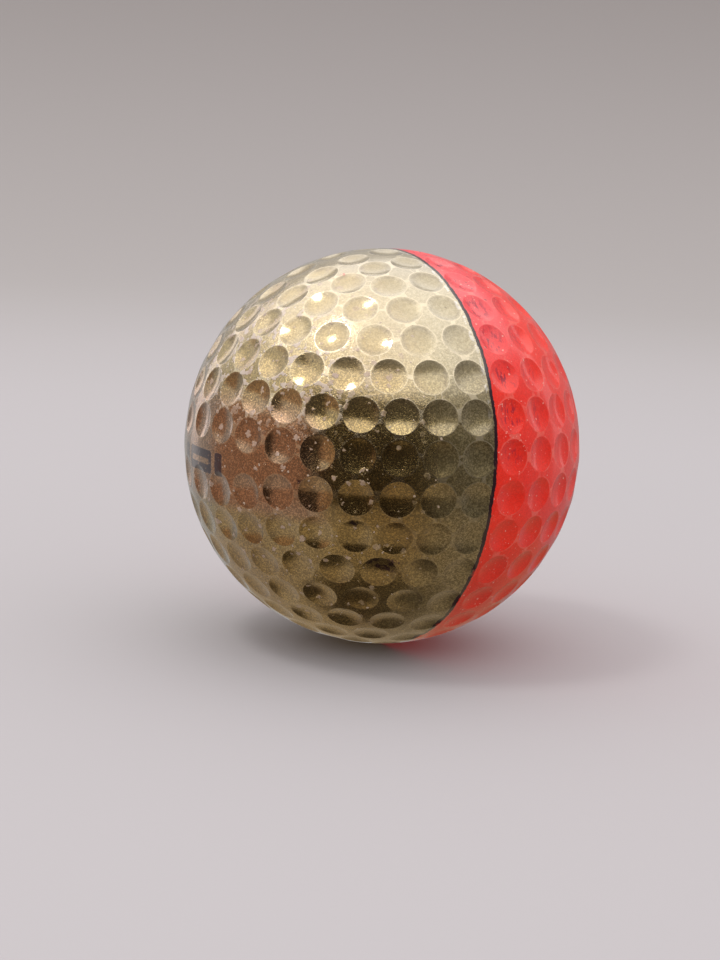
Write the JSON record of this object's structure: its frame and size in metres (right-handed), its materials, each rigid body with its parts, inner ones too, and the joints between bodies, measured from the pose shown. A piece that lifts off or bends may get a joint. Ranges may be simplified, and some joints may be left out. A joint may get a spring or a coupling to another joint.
{
  "type": "golf ball",
  "caption": "Wound golf ball: a dimpled two-colour cover of two moulded cups over rubber thread and tape windings and a filled rubber centre.",
  "frame": {"origin": "centre of the ball", "axes": "+X to the middle of the red cover half, -X to the middle of the gold half, so the seam lies on the plane x = 0; +Z along the axis of the dimple rows"},
  "size_m": [0.0426, 0.0426, 0.0426],
  "materials": {
    "gold_paint": "worn metallic gold paint with flakes under clear lacquer, on a moulded cover",
    "red_paint": "glossy red paint on a moulded cover, with small worn specks",
    "thread_rubber": "tan stretched rubber thread",
    "tape_rubber": "brown stretched rubber tape",
    "sack_rubber": "matte black vulcanised rubber",
    "plug_rubber": "matte dark red self-sealing rubber",
    "centre_paste": "off-white mineral paste"
  },
  "bodies": {
    "root": {"cover_half_gold": "gold_paint", "cover_half_red": "red_paint", "thread_winding": "thread_rubber", "tape_winding": "tape_rubber", "centre_sack_half_upper": "sack_rubber", "centre_sack_half_lower": "sack_rubber", "centre_sack_plug": "plug_rubber", "centre_fluid": "centre_paste"}
  },
  "joints": []
}
